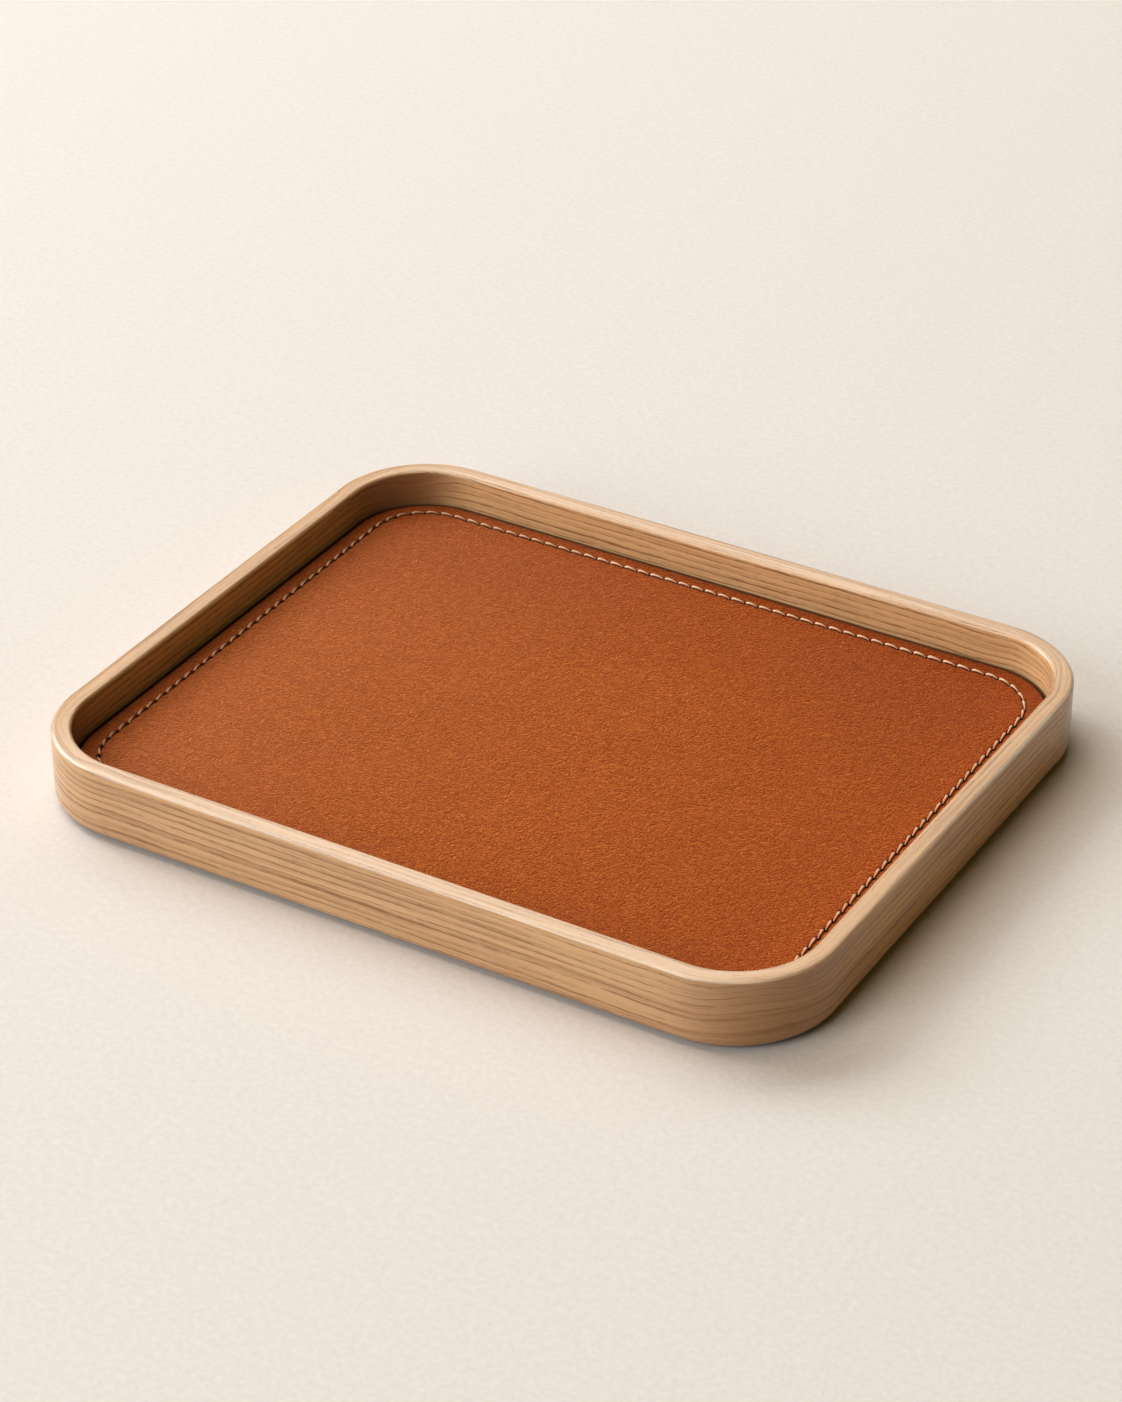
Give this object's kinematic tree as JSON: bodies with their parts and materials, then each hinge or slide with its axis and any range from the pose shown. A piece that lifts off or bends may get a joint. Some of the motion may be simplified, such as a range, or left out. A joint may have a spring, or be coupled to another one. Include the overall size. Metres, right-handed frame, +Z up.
{
  "type": "desk tray",
  "caption": "Shallow rounded desk tray: an oak rim on a plywood base, lined with a tan leather pad stitched round its edge that drops in and lifts out.",
  "frame": {"origin": "middle of the footprint, on the surface that the feet stand on", "axes": "+X along the long side to the right, +Y towards the back, +Z up"},
  "size_m": [0.305, 0.25, 0.028],
  "materials": {
    "oak": "light oak, fine straight grain, matt oil",
    "beech": "sanded beech",
    "plywood": "sanded birch plywood",
    "cork": "fine agglomerated cork",
    "tan_leather": "vegetable-tanned tan leather, satin, fine grain",
    "fibreboard": "pressed leather fibreboard",
    "suede": "brown suede",
    "thread": "waxed linen thread, cream pink"
  },
  "bodies": {
    "tray": {"front_rail": "oak", "back_rail": "oak", "left_rail": "oak", "right_rail": "oak", "tenon_front_left": "beech", "tenon_front_right": "beech", "tenon_back_left": "beech", "tenon_back_right": "beech", "base_panel": "plywood", "foot_front_left": "cork", "foot_front_right": "cork", "foot_back_left": "cork", "foot_back_right": "cork"},
    "pad": {"leather_top": "tan_leather", "pad_board": "fibreboard", "pad_backing": "suede", "stitch_thread": "thread"}
  },
  "joints": [
    {"name": "pad_lift", "type": "slide", "parent": "tray", "child": "pad", "axis": [0, 0, 1], "range_m": [0, 0.04]}
  ]
}
